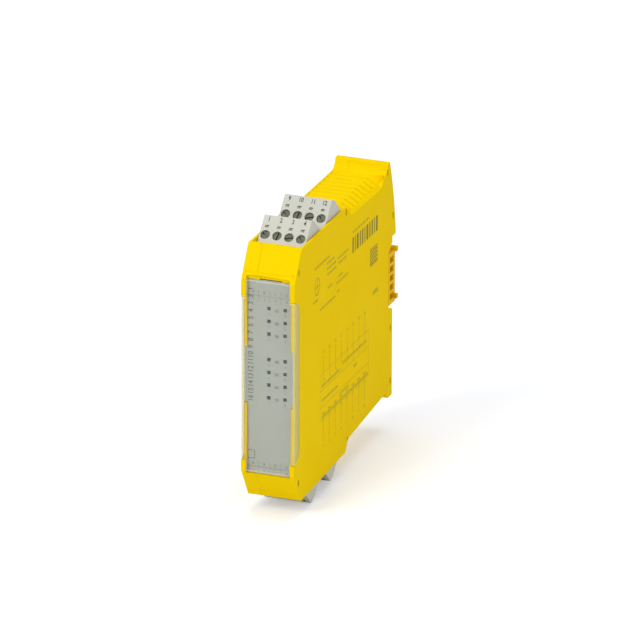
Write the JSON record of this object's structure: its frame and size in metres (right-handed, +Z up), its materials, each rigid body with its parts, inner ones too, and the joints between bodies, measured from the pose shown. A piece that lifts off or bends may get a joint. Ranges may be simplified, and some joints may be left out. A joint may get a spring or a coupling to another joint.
{
  "type": "safety relay module",
  "caption": "Slim rail-mounted safety relay module with plug-in screw terminals, status lights behind a clear flap and a rear bus connector.",
  "frame": {"origin": "rail seat: middle of the 35 mm rail, on the plane of its flanges, at half the module's width", "axes": "+X across the module to its right as seen from the front, +Y back to the rail, +Z up"},
  "size_m": [0.0239, 0.1137, 0.1201],
  "materials": {
    "housing": "satin yellow polyamide, fine spark texture",
    "panel": "light grey, satin",
    "clear": "clear moulded polycarbonate",
    "smoked": "smoked light pipe",
    "board": "green solder resist",
    "led": "milky lamp bodies",
    "relay_case": "white sealed case",
    "core": "dark ferrite with a wound bobbin",
    "can": "sleeved can",
    "chip": "black moulded body",
    "foot": "dark grey polyamide",
    "spring": "drawn spring wire",
    "bus": "orange-yellow polyamide",
    "contact": "tinned copper alloy",
    "plug": "warm light grey polyamide",
    "screw": "zinc-plated steel",
    "header": "light grey polyamide"
  },
  "bodies": {
    "module": {"housing_body": "housing", "side_cover": "housing", "front_panel": "panel", "light_guide": "smoked", "indicator_board": "board", "indicator_leds": "led", "main_board": "board", "relay_upper": "relay_case", "relay_lower": "relay_case", "transformer": "core", "capacitors": "can", "control_chips": "chip", "foot_spring": "spring", "bus_header": "chip", "header_upper_front": "header", "header_pins_upper_front": "contact", "header_upper_rear": "header", "header_pins_upper_rear": "contact", "header_lower_front": "header", "header_pins_lower_front": "contact", "header_lower_rear": "header", "header_pins_lower_rear": "contact"},
    "cover": {"clear_cover": "clear"},
    "foot": {"foot_latch": "foot"},
    "bus": {"bus_connector": "bus", "bus_contacts": "contact"},
    "plug_upper_front": {"plug_upper_front": "plug", "plug_screws_upper_front": "screw", "plug_clamps_upper_front": "contact"},
    "plug_upper_rear": {"plug_upper_rear": "plug", "plug_screws_upper_rear": "screw", "plug_clamps_upper_rear": "contact"},
    "plug_lower_front": {"plug_lower_front": "plug", "plug_screws_lower_front": "screw", "plug_clamps_lower_front": "contact"},
    "plug_lower_rear": {"plug_lower_rear": "plug", "plug_screws_lower_rear": "screw", "plug_clamps_lower_rear": "contact"}
  },
  "joints": [
    {"name": "cover_hinge", "type": "hinge", "parent": "module", "child": "cover", "pos_m": [0, -0.109, -0.0447], "axis": [1, 0, 0], "range_deg": [0, 100]},
    {"name": "foot_slide", "type": "slide", "parent": "module", "child": "foot", "axis": [0, 0, -1], "range_m": [0, 0.003], "stiffness_N_per_m": 800, "springref_m": -0.002, "deforming": ["foot_spring"]},
    {"name": "bus_pull", "type": "slide", "parent": "module", "child": "bus", "axis": [0, 1, 0], "range_m": [0, 0.008]},
    {"name": "plug_upper_front_pull", "type": "slide", "parent": "module", "child": "plug_upper_front", "axis": [0, 0.7071, 0.7071], "range_m": [0, 0.014]},
    {"name": "plug_upper_rear_pull", "type": "slide", "parent": "module", "child": "plug_upper_rear", "axis": [0, 0.7071, 0.7071], "range_m": [0, 0.014]},
    {"name": "plug_lower_front_pull", "type": "slide", "parent": "module", "child": "plug_lower_front", "axis": [0, 0.7071, -0.7071], "range_m": [0, 0.014]},
    {"name": "plug_lower_rear_pull", "type": "slide", "parent": "module", "child": "plug_lower_rear", "axis": [0, 0.7071, -0.7071], "range_m": [0, 0.014]}
  ]
}
